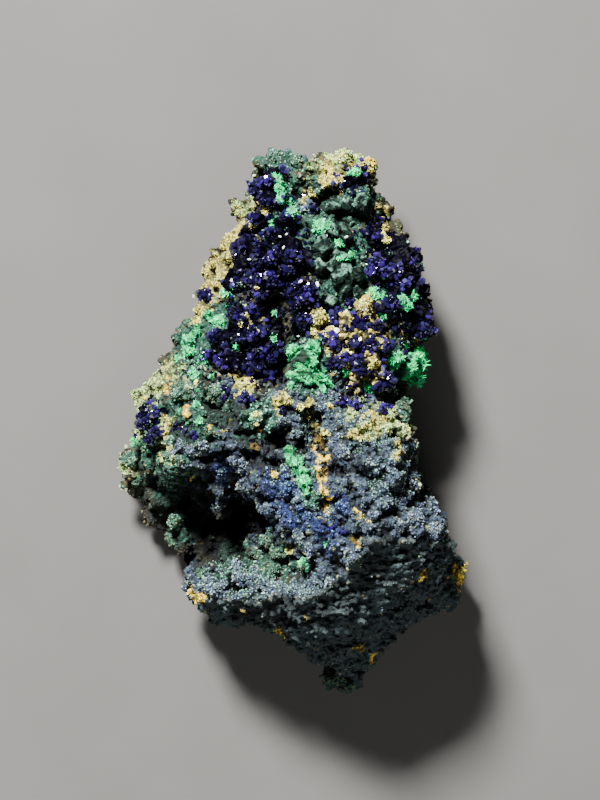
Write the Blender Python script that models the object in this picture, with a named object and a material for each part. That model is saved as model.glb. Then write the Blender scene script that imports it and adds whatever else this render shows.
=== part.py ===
"""Azurite and malachite on a broken piece of limonite rock, lying on its back.

One solid for the rock (the matrix) and one for each crust of crystals that grew on its front.
X is the width, Y the length (the narrow end is +Y) and Z the thickness, up from the back that it
rests on. The shapes are drawn in millimetres and set to metres at the end.
"""

import random

import bmesh
import bpy
from mathutils import Matrix, Vector, noise
from mathutils.bvhtree import BVHTree
from mathutils.geometry import delaunay_2d_cdt

# Driving dimensions of the whole specimen, in metres.
LENGTH = 0.0774
WIDTH = 0.0496
HEIGHT = 0.0335

MM = 0.001

# The rock's surface, in millimetres.
ROCK_VOXEL = 0.8
ROCK_TRIANGLES = 4600
LUMP_SIZE, LUMP_DEPTH = 5.0, 0.8
GRIT_SIZE, GRIT_DEPTH = 2.0, 0.45

# The back: rings inside the outline (share of its size, share of its height), the last one just
# under the face that it rests on.
BACK_RINGS = ((0.96, 0.55), (0.84, 0.24), (0.66, 0.0))
BACK_FLOOR = -0.9
BACK_JITTER = 1.1

# The crusts, in millimetres. A lump sits sunk into the rock by this share of its radius.
CRUST_VOXEL = 0.45
CRUST_SINK = 0.15
CRUST_ROUGHNESS = 0.35
CRUST_ROUGH_SIZE = 1.3
CRUST_GAP = 0.3
TRIANGLES_PER_LUMP = 52

# The brow of the rock, clockwise from its narrow end: where the front turns over to the back.
OUTLINE = [
    (-3.5, 38.0, 9), (-1.5, 38.6, 9), (1.0, 38.0, 9), (2.0, 37.0, 10), (5.5, 37.8, 10),
    (10.0, 37.5, 10), (11.5, 36.0, 10), (12.0, 33.0, 11), (13.5, 30.5, 11), (13.5, 29.0, 11),
    (17.0, 25.0, 11), (18.0, 20.0, 12), (19.5, 15.0, 12), (19.5, 12.0, 12), (18.0, 6.0, 12),
    (16.5, 4.0, 13), (16.0, 0.0, 14), (17.0, -2.0, 14), (17.0, -5.5, 14), (17.5, -9.5, 14),
    (19.0, -10.0, 14), (22.0, -15.5, 13), (22.5, -17.5, 12), (22.0, -19.0, 10), (23.5, -19.5, 8),
    (24.5, -21.5, 8), (24.5, -24.0, 8), (23.0, -26.0, 8), (18.0, -28.5, 10), (15.5, -29.5, 10),
    (12.5, -34.0, 9), (10.5, -35.5, 9), (9.5, -37.8, 9), (8.0, -38.7, 9), (6.0, -38.7, 9),
    (4.5, -37.7, 9), (4.0, -35.5, 8), (-1.0, -31.0, 8), (-6.0, -28.5, 8), (-7.5, -30.0, 7),
    (-11.0, -29.3, 7), (-14.0, -25.5, 7), (-15.5, -24.0, 7), (-15.3, -21.0, 6), (-19.0, -16.5, 5),
    (-24.5, -9.5, 5), (-24.8, -6.5, 6), (-23.2, -3.0, 6), (-22.0, 0.0, 7), (-22.8, 2.5, 7),
    (-22.0, 4.5, 7), (-18.0, 8.5, 7), (-17.5, 11.5, 7), (-13.5, 15.5, 7), (-11.5, 24.5, 8),
    (-9.0, 27.0, 8), (-8.3, 31.0, 8), (-6.0, 33.0, 8), (-5.7, 36.3, 9),
]

# The corners of the front's broken faces: the upper wedge, from the narrow end down.
TOP_KNOB = [(-4.0, 36.0, 15.5), (-1.5, 37.0, 15), (0.5, 36.5, 15), (-3.0, 33.5, 18), (-3.5, 31.0, 18)]
TOP_SADDLE = [(2.0, 35.0, 13.5), (3.5, 35.5, 15)]
TOP_LOBE = [(6.5, 36.3, 17), (9.5, 35.5, 17), (10.8, 33.5, 15.5), (8.0, 33.5, 17.5), (5.5, 33.0, 17)]
TOP_RECESS = [(6.0, 29.0, 15), (8.0, 28.5, 15), (10.5, 28.0, 16)]
UPPER_STEPS = [
    (8.5, 31.0, 18), (10.5, 30.0, 17.5), (1.0, 31.0, 18), (3.0, 28.0, 18.5), (7.5, 25.5, 19),
    (5.5, 22.0, 19.5), (6.5, 18.5, 20.5), (5.0, 16.0, 20),
]
LEFT_SHOULDER = [
    (-7.0, 30.0, 13), (-9.0, 25.5, 11), (-7.5, 23.0, 14.5), (-11.0, 20.5, 10), (-8.5, 19.0, 14.5),
    (-11.5, 16.5, 11.5),
]
UPPER_RIDGE = [
    (-4.0, 28.0, 19), (-5.5, 24.0, 19), (-2.5, 22.5, 21), (0.5, 22.5, 22), (-6.5, 19.5, 17.5),
    (-4.0, 18.5, 20.5),
]
MIDDLE_RIDGE = [
    (1.5, 16.5, 23.5), (2.0, 14.0, 22), (-7.0, 14.5, 19), (-5.0, 12.0, 20.5), (-9.0, 10.5, 18),
    (-4.0, 9.0, 20.5), (-6.5, 6.5, 20.5),
]
CLEFT = [(-2.5, 17.0, 18), (-2.0, 14.0, 17.5), (-1.5, 10.5, 16.5), (-1.0, 6.5, 17)]
LEFT_FLANK = [
    (-13.0, 14.0, 14), (-11.0, 12.0, 16.5), (-14.5, 10.5, 13.5), (-12.0, 8.5, 17.5),
    (-16.0, 8.5, 11.5), (-13.5, 5.5, 18), (-18.5, 5.0, 13.5), (-17.0, 2.5, 17.5),
    (-20.5, 0.0, 13.5), (-19.0, -1.5, 16.5),
]
TUFT_SHELF = [
    (4.0, 14.0, 21), (7.5, 12.5, 22), (11.0, 15.5, 21), (10.5, 11.0, 22.5), (8.0, 8.5, 23),
    (6.5, 5.5, 23), (11.0, 6.5, 23), (13.0, 9.5, 22), (1.0, 9.0, 23), (1.5, 5.5, 24.5),
    (5.0, 5.0, 24),
]
RIGHT_FLANK = [
    (11.0, 25.5, 17.5), (14.0, 23.0, 18.5), (16.0, 21.0, 17), (12.5, 19.5, 20), (15.5, 18.5, 19),
    (18.0, 16.5, 16), (14.5, 15.0, 19.5), (17.5, 13.0, 17), (15.0, 11.5, 19.5), (16.0, 8.5, 19),
    (18.0, 8.5, 16), (15.0, 6.0, 18.5),
]
NOTCH = [(7.5, 3.5, 22.5), (10.0, 3.5, 20.5), (13.0, 3.5, 18), (15.5, 4.0, 16.5)]

# The lower block, with the hollow and the overhang beside it.
BLOCK_SHELF = [
    (5.5, 2.5, 26.5), (8.0, 1.5, 27), (11.5, 1.5, 26), (15.0, 2.0, 23.5), (10.0, -0.5, 29.5),
    (14.5, -0.5, 27.5), (16.0, -2.5, 24.5),
]
LEFT_SHELF = [
    (-1.5, 3.0, 25.5), (-5.0, 3.0, 24), (1.0, 1.5, 27), (-3.0, 0.5, 26), (-7.5, 1.5, 23.5),
    (-11.0, 2.5, 21.5),
]
MIDDLE_RECESS = [(1.5, -2.5, 24), (-1.0, -2.0, 24.5)]
BLOCK_FRONT = [
    (6.0, -4.0, 29.5), (10.0, -5.5, 31), (14.0, -5.5, 30), (16.5, -6.5, 24.5), (7.0, -10.0, 31),
    (11.0, -11.5, 32), (15.0, -10.5, 29.5), (17.0, -9.0, 25.5), (7.5, -15.5, 32), (12.0, -17.0, 33),
    (15.5, -15.5, 30.5), (18.5, -13.0, 26.5), (20.5, -15.5, 23.5), (19.5, -18.0, 28),
    (15.5, -19.0, 31.5), (8.0, -19.5, 32), (5.5, -18.0, 30), (21.5, -18.5, 22),
]
VEIN_GROOVE = [(3.5, -5.0, 28.3), (4.0, -8.5, 28.8), (5.0, -12.0, 29.3)]
INNER_SLOPE = [
    (0.5, -5.0, 27), (2.5, -11.0, 29.5), (-3.0, -7.0, 25.5), (-4.5, -10.5, 24.5),
    (-1.0, -10.5, 27.5), (-2.0, -14.0, 25.5), (1.5, -15.5, 28.5), (-1.0, -17.5, 25.5),
    (-4.0, -17.0, 20), (3.0, -18.5, 29),
]
OVERHANG = [
    (-18.0, -2.5, 20), (-17.5, -7.0, 21), (-15.0, -7.0, 22), (-12.0, -4.0, 23.5), (-9.0, -3.5, 24.5),
    (-6.5, -2.5, 25), (-9.5, -7.5, 22.5), (-6.5, -7.0, 24.5), (-7.0, -9.5, 22), (-10.5, -12.0, 20),
    (-8.0, -11.0, 21),
]
HOLLOW = [
    (-20.5, -7.0, 9), (-18.5, -11.0, 8.5), (-14.5, -11.0, 10), (-12.5, -14.0, 9), (-8.5, -15.5, 9),
    (-6.0, -14.5, 11), (-10.5, -18.0, 9), (-6.5, -18.5, 12), (-15.0, -17.5, 10.5),
    (-16.5, -15.5, 9.5), (-12.0, -20.5, 12),
]
LEFT_RIM = [(-23.0, -7.0, 8.5), (-22.0, -4.5, 10), (-21.0, -10.0, 7.5)]
LOWER_LEDGE = [
    (-13.5, -23.0, 17), (-11.5, -22.5, 19.5), (-9.0, -20.5, 21), (-6.0, -22.0, 22.5),
    (-2.0, -23.0, 25), (1.5, -24.0, 27.5), (5.0, -23.5, 29), (-13.0, -25.0, 16), (-9.0, -25.0, 21.5),
    (-5.0, -25.5, 24), (-0.5, -26.5, 27), (4.0, -26.5, 28.5),
]
LEDGE_BACK = [(-3.0, -19.5, 19), (0.0, -20.5, 23), (2.5, -21.5, 27)]
UNDERSIDE = [
    (-10.5, -27.5, 15), (-6.5, -27.5, 18.5), (-1.5, -29.0, 20.5), (2.5, -31.0, 21),
    (7.0, -25.0, 30), (7.5, -29.5, 26), (7.5, -33.0, 20), (7.0, -36.5, 13),
    (11.0, -23.5, 29), (15.5, -23.5, 27), (19.5, -23.0, 22.5), (12.5, -28.0, 23),
    (16.5, -26.5, 20), (10.5, -32.0, 17),
]
RIGHT_NUB = [(23.0, -21.5, 11), (23.5, -23.5, 9.5)]

FRONT = [
    TOP_KNOB, TOP_SADDLE, TOP_LOBE, TOP_RECESS, UPPER_STEPS, LEFT_SHOULDER, UPPER_RIDGE,
    MIDDLE_RIDGE, CLEFT, LEFT_FLANK, TUFT_SHELF, RIGHT_FLANK, NOTCH, BLOCK_SHELF, LEFT_SHELF,
    MIDDLE_RECESS, BLOCK_FRONT, VEIN_GROOVE, INNER_SLOPE, OVERHANG, HOLLOW, LEFT_RIM, LOWER_LEDGE,
    LEDGE_BACK, UNDERSIDE, RIGHT_NUB,
]

# The crusts: each is a run of lumps (x, y, radius) that overlap into one solid.
AZURITE = {
    "azurite_rosette": [(1.2, 17.0, 2.4), (2.0, 14.3, 2.0)],
    "azurite_top": [(-4.2, 35.3, 2.0), (-3.4, 31.6, 2.3), (-2.4, 33.4, 1.6)],
    "azurite_upper": [
        (-4.2, 27.2, 2.5), (-1.2, 26.2, 2.4), (-5.6, 24.0, 2.4), (-2.8, 22.8, 2.7), (0.2, 22.2, 2.5),
        (-6.6, 21.0, 2.1), (-4.2, 19.8, 2.4), (-7.8, 18.6, 1.9),
    ],
    "azurite_middle": [
        (-4.2, 15.0, 2.3), (-7.2, 14.2, 2.2), (-2.4, 13.0, 1.8), (-5.8, 11.3, 2.5), (-9.2, 10.8, 2.2),
        (-3.6, 9.4, 2.0), (-7.6, 7.8, 2.4), (-4.8, 6.4, 2.0), (-10.4, 7.6, 1.6),
    ],
    "azurite_right": [
        (11.8, 25.0, 2.2), (14.0, 23.2, 2.5), (16.0, 21.6, 2.1), (12.9, 20.2, 2.3), (15.4, 18.8, 2.4),
        (17.4, 17.4, 1.7), (13.8, 16.6, 2.2), (16.6, 15.4, 2.2), (12.2, 14.8, 1.5), (15.1, 13.2, 2.1),
        (17.6, 12.5, 1.7),
    ],
    "azurite_centre": [
        (7.4, 13.6, 1.6), (9.3, 13.9, 1.3), (8.4, 11.3, 1.7), (6.2, 11.3, 1.3), (11.1, 10.6, 2.0),
        (10.2, 8.3, 1.7), (7.6, 7.6, 1.6), (8.6, 5.2, 1.8), (11.4, 5.5, 1.9),
    ],
    "azurite_top_right": [(9.2, 34.0, 1.5), (7.8, 33.2, 1.3)],
    "azurite_left": [(-20.2, 0.4, 1.8), (-19.4, -1.6, 1.8)],
}
MALACHITE = {
    "malachite_centre": [
        (0.8, 9.0, 1.9), (2.9, 9.6, 1.7), (2.4, 7.3, 1.8), (1.3, 5.4, 2.0), (3.9, 5.2, 2.0),
    ],
    "malachite_right": [(15.0, 8.0, 1.9), (17.0, 8.3, 1.7), (16.4, 6.2, 1.8)],
    "malachite_top": [(8.1, 29.8, 1.8), (10.0, 29.6, 1.6)],
    "malachite_blocks": [
        (5.3, 26.5, 1.9), (7.4, 25.3, 1.9), (6.7, 22.5, 2.1), (4.4, 20.9, 1.7), (7.9, 20.3, 1.9),
        (7.2, 18.0, 1.8),
    ],
    "malachite_left": [(-11.5, 14.2, 1.7), (-12.9, 12.4, 1.8), (-14.0, 10.2, 1.9)],
    "malachite_vein": [(-0.3, -4.8, 1.3), (0.8, -6.2, 1.5), (1.7, -8.0, 1.5), (2.2, -9.7, 1.3)],
}


def clear_scene():
    for old in list(bpy.data.objects):
        bpy.data.objects.remove(old, do_unlink=True)


def make_material(name, colour, roughness):
    material = bpy.data.materials.new(name)
    material.use_nodes = True
    shader = material.node_tree.nodes["Principled BSDF"]
    shader.inputs["Base Color"].default_value = (*colour, 1.0)
    shader.inputs["Roughness"].default_value = roughness
    shader.inputs["Metallic"].default_value = 0.0
    return material


def object_from_bmesh(name, bm):
    mesh = bpy.data.meshes.new(name)
    bm.to_mesh(mesh)
    bm.free()
    obj = bpy.data.objects.new(name, mesh)
    bpy.context.scene.collection.objects.link(obj)
    return obj


def bake_modifiers(obj):
    depsgraph = bpy.context.evaluated_depsgraph_get()
    baked = bpy.data.meshes.new_from_object(obj.evaluated_get(depsgraph))
    obj.modifiers.clear()
    obj.data = baked


def voxel_remesh(obj, voxel):
    remesh = obj.modifiers.new("remesh", "REMESH")
    remesh.mode = "VOXEL"
    remesh.voxel_size = voxel
    bake_modifiers(obj)


def decimate(obj, triangles):
    obj.data.calc_loop_triangles()
    thin = obj.modifiers.new("thin", "DECIMATE")
    thin.ratio = min(1.0, triangles / len(obj.data.loop_triangles))
    thin.use_collapse_triangulate = True
    bake_modifiers(obj)


def subtract(obj, cutter):
    cut = obj.modifiers.new("cut", "BOOLEAN")
    cut.operation = "DIFFERENCE"
    cut.solver = "EXACT"
    cut.object = cutter
    bake_modifiers(obj)


def roughen(obj, layers):
    """Move each point along its normal by layers of noise, each (size, depth, seed)."""
    offsets = []
    for vertex in obj.data.vertices:
        depth = sum(d * noise.noise(vertex.co / size + Vector((seed, 0, 0)))
                    for size, d, seed in layers)
        offsets.append(vertex.normal * depth)
    for vertex, offset in zip(obj.data.vertices, offsets):
        vertex.co += offset


def keep_largest_body(obj):
    """Drop the chips that a cut leaves beside the main body."""
    bm = bmesh.new()
    bm.from_mesh(obj.data)
    unseen = set(bm.faces)
    bodies = []
    while unseen:
        body, front = set(), [unseen.pop()]
        while front:
            face = front.pop()
            body.add(face)
            for edge in face.edges:
                for other in edge.link_faces:
                    if other in unseen:
                        unseen.remove(other)
                        front.append(other)
        bodies.append(body)
    largest = max(bodies, key=lambda body: sum(face.calc_area() for face in body))
    chips = [face for body in bodies if body is not largest for face in body]
    bmesh.ops.delete(bm, geom=chips, context="FACES")
    bm.to_mesh(obj.data)
    bm.free()


def make_rock():
    """The front is facets between its named corners; the back is rings that narrow to the floor."""
    brow = [Vector(point) for point in OUTLINE]
    inner = [Vector(point) for feature in FRONT for point in feature]
    points = brow + inner
    count = len(brow)
    edges = [(i, (i + 1) % count) for i in range(count)]
    flat, _, faces, originals, _, _ = delaunay_2d_cdt([p.xy for p in points], edges, [], 1, 0.01)

    bm = bmesh.new()
    corners = []
    for position, sources in zip(flat, originals):
        corners.append(bm.verts.new((position.x, position.y, points[sources[0]].z)))
    for face in faces:
        bm.faces.new([corners[i] for i in face])

    randomness = random.Random(7)
    middle = sum(brow, Vector()) / count
    ring = [corners[i] for i in range(count)]
    for share, height in BACK_RINGS:
        lower = []
        for point in brow:
            x = middle.x + (point.x - middle.x) * share + randomness.uniform(-1, 1) * BACK_JITTER
            y = middle.y + (point.y - middle.y) * share + randomness.uniform(-1, 1) * BACK_JITTER
            z = point.z * height if height else BACK_FLOOR
            lower.append(bm.verts.new((x, y, z)))
        for i in range(count):
            j = (i + 1) % count
            bm.faces.new((ring[i], ring[j], lower[j], lower[i]))
        ring = lower
    bm.faces.new(ring)
    bmesh.ops.recalc_face_normals(bm, faces=bm.faces)
    rock = object_from_bmesh("matrix", bm)

    voxel_remesh(rock, ROCK_VOXEL)
    roughen(rock, [(LUMP_SIZE, LUMP_DEPTH, 11.0), (GRIT_SIZE, GRIT_DEPTH, 37.0)])
    decimate(rock, ROCK_TRIANGLES)
    return rock


def cut_resting_face(rock):
    """Cut the back off flat at z = 0, so that the specimen lies on a real face."""
    bm = bmesh.new()
    bmesh.ops.create_cube(bm, size=200.0, matrix=Matrix.Translation((0, 0, -100.0)))
    cutter = object_from_bmesh("floor_cutter", bm)
    subtract(rock, cutter)
    bpy.data.objects.remove(cutter)
    keep_largest_body(rock)


def grown_copy(obj, amount):
    """A copy of a solid, larger by a gap all round."""
    grown = bpy.data.objects.new(obj.name + "_grown", obj.data.copy())
    bpy.context.scene.collection.objects.link(grown)
    offsets = [vertex.normal * amount for vertex in grown.data.vertices]
    for vertex, offset in zip(grown.data.vertices, offsets):
        vertex.co += offset
    return grown


def make_crust(name, lumps, surface, grown_rock):
    """Lumps of crystal, melted into one body and trimmed to sit on the rock."""
    bm = bmesh.new()
    for x, y, radius in lumps:
        place, normal, _, _ = surface.ray_cast(Vector((x, y, 60.0)), Vector((0, 0, -1)))
        centre = place - normal * (CRUST_SINK * radius)
        bmesh.ops.create_icosphere(
            bm, subdivisions=2, radius=radius, matrix=Matrix.Translation(centre))
    crust = object_from_bmesh(name, bm)
    voxel_remesh(crust, CRUST_VOXEL)
    roughen(crust, [(CRUST_ROUGH_SIZE, CRUST_ROUGHNESS, 5.0)])
    decimate(crust, TRIANGLES_PER_LUMP * len(lumps))
    subtract(crust, grown_rock)
    keep_largest_body(crust)
    return crust


def keep_apart(crusts):
    """Shrink each lump until it is clear of the lumps of every crust before it."""
    placed = []
    spaced = {}
    for name, lumps in crusts.items():
        spaced[name] = []
        for x, y, radius in lumps:
            for other_x, other_y, other_radius in placed:
                distance = ((x - other_x) ** 2 + (y - other_y) ** 2) ** 0.5
                radius = min(radius, distance - other_radius - CRUST_GAP - CRUST_ROUGHNESS)
            spaced[name].append((x, y, radius))
        placed.extend(spaced[name])
    return spaced


def set_real_size(objects):
    """Scale the millimetre shapes to the driving dimensions, with the origin under the middle."""
    corners = [vertex.co for obj in objects for vertex in obj.data.vertices]
    low = Vector([min(c[i] for c in corners) for i in range(3)])
    high = Vector([max(c[i] for c in corners) for i in range(3)])
    size = high - low
    foot = Vector(((low.x + high.x) / 2, (low.y + high.y) / 2, low.z))
    scale = Matrix.Diagonal((WIDTH / size.x, LENGTH / size.y, HEIGHT / size.z, 1.0))
    for obj in objects:
        obj.data.transform(scale @ Matrix.Translation(-foot))


def main():
    clear_scene()
    limonite = make_material("limonite", (0.16, 0.17, 0.12), 0.85)
    azurite = make_material("azurite", (0.02, 0.02, 0.30), 0.20)
    malachite = make_material("malachite", (0.03, 0.38, 0.17), 0.45)

    rock = make_rock()
    cut_resting_face(rock)
    rock.data.materials.append(limonite)
    surface = BVHTree.FromObject(rock, bpy.context.evaluated_depsgraph_get())
    grown_rock = grown_copy(rock, CRUST_GAP)

    objects = [rock]
    for name, lumps in keep_apart(AZURITE | MALACHITE).items():
        crust = make_crust(name, lumps, surface, grown_rock)
        crust.data.materials.clear()
        crust.data.materials.append(azurite if name in AZURITE else malachite)
        objects.append(crust)
    bpy.data.objects.remove(grown_rock)
    set_real_size(objects)


main()
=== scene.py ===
"""Azurite and malachite on a broken piece of limonite rock, lying on its back on a pale table."""

import itertools
import math

import bmesh
import bpy
import numpy as np
from mathutils import Matrix, Vector, noise
from mathutils.bvhtree import BVHTree
from mathutils.kdtree import KDTree


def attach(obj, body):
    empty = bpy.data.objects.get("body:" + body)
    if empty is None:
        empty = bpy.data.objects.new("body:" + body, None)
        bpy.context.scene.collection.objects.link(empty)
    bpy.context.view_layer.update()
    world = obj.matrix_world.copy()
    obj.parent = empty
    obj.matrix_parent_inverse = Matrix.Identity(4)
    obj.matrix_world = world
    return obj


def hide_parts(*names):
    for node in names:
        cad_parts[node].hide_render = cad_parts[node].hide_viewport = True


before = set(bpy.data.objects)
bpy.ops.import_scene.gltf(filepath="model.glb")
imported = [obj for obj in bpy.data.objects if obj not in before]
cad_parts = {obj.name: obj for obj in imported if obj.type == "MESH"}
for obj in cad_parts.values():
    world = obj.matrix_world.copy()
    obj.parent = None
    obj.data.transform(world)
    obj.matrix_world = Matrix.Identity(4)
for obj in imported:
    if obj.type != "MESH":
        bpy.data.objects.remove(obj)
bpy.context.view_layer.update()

# ---------------------------------------------------------------------------------------------
# The rock: one broken lump of porous, iron-stained limonite, weathered into cobbles and pits.
# Its front is stained by the blue, green and ochre minerals that grew on it, and its lower
# faces are layered. The back is the plain broken stone that it rests on.

MM = 0.001
COARSE_VOXEL = 0.42 * MM
FINE_VOXEL = 0.33 * MM
BOULDER_SIZE, BOULDER_DEPTH = 4.4, 1.3
COBBLE_SIZE, COBBLE_DEPTH = 2.1, 1.1
PIT_SIZE, PIT_DEPTH = 2.4, 1.7
PEBBLE_SIZE, PEBBLE_DEPTH = 1.0, 0.42
GRIT_SIZE, GRIT_DEPTH = 0.55, 0.12
LAYER_SPACING, LAYER_DEPTH = 1.2, 0.75
LAYER_WANDER, LAYER_WAVE = 1.6, 6.0
LAYER_DIP = (0.12, 0.75, 0.65)
POROUS_SIZE = 9.0
DROP, DROP_WIDTH = 2.0, 2.5
BEND_SIZE, BEND_DEPTH = 2.2, 0.8
CALM_NEAR, CALM_FAR = 0.6, 1.6
FLOOR_FADE = 1.2
SMOOTHING_ROUNDS = 60
ROCK_TRIANGLES = 190000

# Crevices in the front, each from one point to another, with its half width and its depth.
CREVICES = [
    (1.8, 1.3, 3.1, -2.7, 1.2, 2.6), (-2.2, -2.7, 1.1, -3.5, 1.4, 2.2),
    (7.7, -3.2, 11.2, -4.1, 0.8, 1.2), (14.6, -9.1, 16.2, -11.9, 1, 1.8),
    (-9, -9, -7.3, -13.9, 1.6, 2.4), (6.4, 34.6, 8.4, 36.1, 0.7, 1.6), (3.2, 33.2, 4.4, 31, 0.9, 1.6),
    (-3, 0.5, -5, -2, 0.9, 1.3), (-14, -6, -9.5, -5, 1, 1.6), (-6.8, -5.4, -2.4, -5.6, 1.1, 2),
    (-14.5, -19.4, -9, -18.8, 1.4, 2), (-5.4, -12.6, -3.8, -15.6, 1.2, 2), (-12.5, 3, -8, 0.6, 1, 1.8),
    (-16, -7.5, -12.5, -8.8, 1, 1.8), (-7, -1.6, -4.4, -4.6, 0.9, 1.8),
]

# The front breaks off along this line, seen from above. Below it the face is layered and dark.
BREAK_LINE = [(-30, -24.4), (-13, -24.6), (3.4, -23.4), (8.8, -18.6), (10.8, -15.6), (30, -15.6)]
BREAK_WANDER, BREAK_WAVE = 0.7, 2.5


def smoothstep(low, high, value):
    share = np.clip((value - low) / (high - low), 0.0, 1.0)
    return share * share * (3.0 - 2.0 * share)


def evaluated_mesh(obj):
    """The object's mesh with its modifiers in it."""
    depsgraph = bpy.context.evaluated_depsgraph_get()
    return bpy.data.meshes.new_from_object(obj.evaluated_get(depsgraph))


def new_object(name, mesh):
    obj = bpy.data.objects.new(name, mesh)
    bpy.context.scene.collection.objects.link(obj)
    return obj


def merged_copy(node, name):
    """A CAD node's mesh as a joined surface, in an object of its own."""
    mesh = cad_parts[node].data.copy()
    mesh.materials.clear()
    bm = bmesh.new()
    bm.from_mesh(mesh)
    bmesh.ops.remove_doubles(bm, verts=bm.verts, dist=1e-6)
    bm.to_mesh(mesh)
    bm.free()
    return new_object(name, mesh)


def voxel_remesh(obj, voxel):
    remesh = obj.modifiers.new("remesh", "REMESH")
    remesh.mode = "VOXEL"
    remesh.voxel_size = voxel
    mesh = evaluated_mesh(obj)
    obj.modifiers.clear()
    obj.data = mesh


def points_and_normals(mesh):
    """Points in millimetres, and unit normals."""
    points = np.zeros(len(mesh.vertices) * 3)
    normals = np.zeros(len(mesh.vertices) * 3)
    mesh.vertices.foreach_get("co", points)
    mesh.vertices.foreach_get("normal", normals)
    return points.reshape(-1, 3) / MM, normals.reshape(-1, 3)


def set_points(mesh, points):
    mesh.vertices.foreach_set("co", (points * MM).astype(np.float32).ravel())
    mesh.update()


def store_shares(mesh, **shares):
    """Keeps each share on the mesh's points, for its material and for the grains that grow on it."""
    for name, share in shares.items():
        attribute = mesh.attributes.new(name, "FLOAT", "POINT")
        attribute.data.foreach_set("value", share.astype(np.float32))


def noise_at(points, size, seed):
    """Smooth noise, about -1 to 1, at each point, with features of this size."""
    shift = Vector((seed, seed * 0.37, seed * 0.71))
    return np.array([noise.noise(Vector(p) / size + shift) for p in points])


def bulges(points, size, seed, crease, level):
    """Rounded bulges, one to a cell of this size, from -level in the creases between them. A
    crease is this share of a cell wide."""
    shift = Vector((seed, seed * 0.53, seed * 0.29))
    rise = np.zeros(len(points))
    for i, p in enumerate(points):
        nearest, second = noise.voronoi(Vector(p) / size + shift)[0][:2]
        rise[i] = second - nearest
    return smoothstep(0.0, crease, rise) - level


def distance_to(points, node_names):
    """Millimetres from each point to the nearest corner of these CAD nodes."""
    corners = [vertex.co / MM for name in node_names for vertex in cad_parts[name].data.vertices]
    tree = KDTree(len(corners))
    for i, corner in enumerate(corners):
        tree.insert(corner, i)
    tree.balance()
    return np.array([tree.find(p)[2] for p in points])


def bent(points, seed):
    """The points moved about by smooth noise, so that cells on them get ragged outlines."""
    wander = [noise_at(points, BEND_SIZE, seed + 13.0 * k) for k in range(3)]
    return points + BEND_DEPTH * np.stack(wander, axis=1)


def crevice_depth(points):
    """How deep the crevices cut at each point, seen from above."""
    depth = np.zeros(len(points))
    for x0, y0, x1, y1, half_width, deepest in CREVICES:
        start = np.array((x0, y0))
        run = np.array((x1 - x0, y1 - y0))
        along = np.clip((points[:, :2] - start) @ run / (run @ run), 0.0, 1.0)
        distance = np.linalg.norm(points[:, :2] - start - along[:, None] * run, axis=1)
        depth = np.maximum(depth, deepest * (1.0 - smoothstep(0.3, 1.0, distance / half_width)))
    return depth


def past_the_break(points):
    """Millimetres below the break line, seen from above."""
    line_x, line_y = zip(*BREAK_LINE)
    ragged = BREAK_WANDER * noise_at(points, BREAK_WAVE, 15.0)
    return np.interp(points[:, 0], line_x, line_y) - points[:, 1] + ragged


def below_break(points):
    """1 below the break line and 0 above it, with a soft edge."""
    return smoothstep(-0.3, 1.2, past_the_break(points))


def weather_coarsely(mesh):
    """Boulders, cobbles, pits, crevices and layers."""
    points, normals = points_and_normals(mesh)
    crusts = [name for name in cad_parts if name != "matrix"]
    calm = 0.2 + 0.8 * smoothstep(CALM_NEAR, CALM_FAR, distance_to(points, crusts))
    floor = smoothstep(0.0, FLOOR_FADE, points[:, 2])
    crooked = bent(points, 5.0)
    relief = BOULDER_DEPTH * bulges(crooked, BOULDER_SIZE, seed=3.0, crease=0.38, level=0.75)
    relief += COBBLE_DEPTH * bulges(crooked, COBBLE_SIZE, seed=6.0, crease=0.45, level=0.6)
    porous = smoothstep(-0.2, 0.3, noise_at(points, POROUS_SIZE, 23.0))
    relief -= PIT_DEPTH * porous * smoothstep(0.16, 0.5, noise_at(points, PIT_SIZE, 19.0))
    under = below_break(points)
    wander = noise_at(points, LAYER_WAVE, 41.0) * LAYER_WANDER + points[:, 0] * LAYER_DIP[0]
    level = (points[:, 1] * LAYER_DIP[1] + points[:, 2] * LAYER_DIP[2] + wander) / LAYER_SPACING
    layers = LAYER_DEPTH * under * (4.0 * np.abs(level - np.floor(level) - 0.5) - 1.0)
    crevices = crevice_depth(crooked) * smoothstep(0.0, 0.4, normals[:, 2])
    depth = relief * (1.0 - 0.5 * under) * calm + layers - crevices
    points += normals * (depth * floor)[:, None]
    upward = smoothstep(0.1, 0.6, normals[:, 2])
    points[:, 2] -= DROP * smoothstep(0.0, DROP_WIDTH, past_the_break(points)) * upward
    points[:, 2] = np.maximum(points[:, 2], 0.0)
    set_points(mesh, points)


def weather_finely(mesh):
    """Pebbles and grit."""
    points, normals = points_and_normals(mesh)
    floor = smoothstep(0.0, FLOOR_FADE, points[:, 2])
    pebbles = PEBBLE_DEPTH * bulges(points, PEBBLE_SIZE, seed=8.0, crease=0.5, level=0.5)
    grit = GRIT_DEPTH * noise_at(points, GRIT_SIZE, 27.0)
    points += normals * ((pebbles + grit) * floor)[:, None]
    points[:, 2] = np.maximum(points[:, 2], 0.0)
    set_points(mesh, points)


def thin_out(obj, most_triangles):
    """Fewer triangles, taken mostly from the back and the sides, which show the least."""
    points, normals = points_and_normals(obj.data)
    group = obj.vertex_groups.new(name="hidden")
    share = 0.25 + 0.75 * smoothstep(0.35, -0.1, normals[:, 2])
    for i, weight in enumerate(share):
        group.add([i], weight, "REPLACE")
    thinner = obj.modifiers.new("thinner", "DECIMATE")
    thinner.ratio = most_triangles / (2.0 * len(obj.data.polygons))
    thinner.vertex_group = group.name
    mesh = evaluated_mesh(obj)
    obj.modifiers.clear()
    obj.vertex_groups.clear()
    obj.data = mesh


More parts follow.
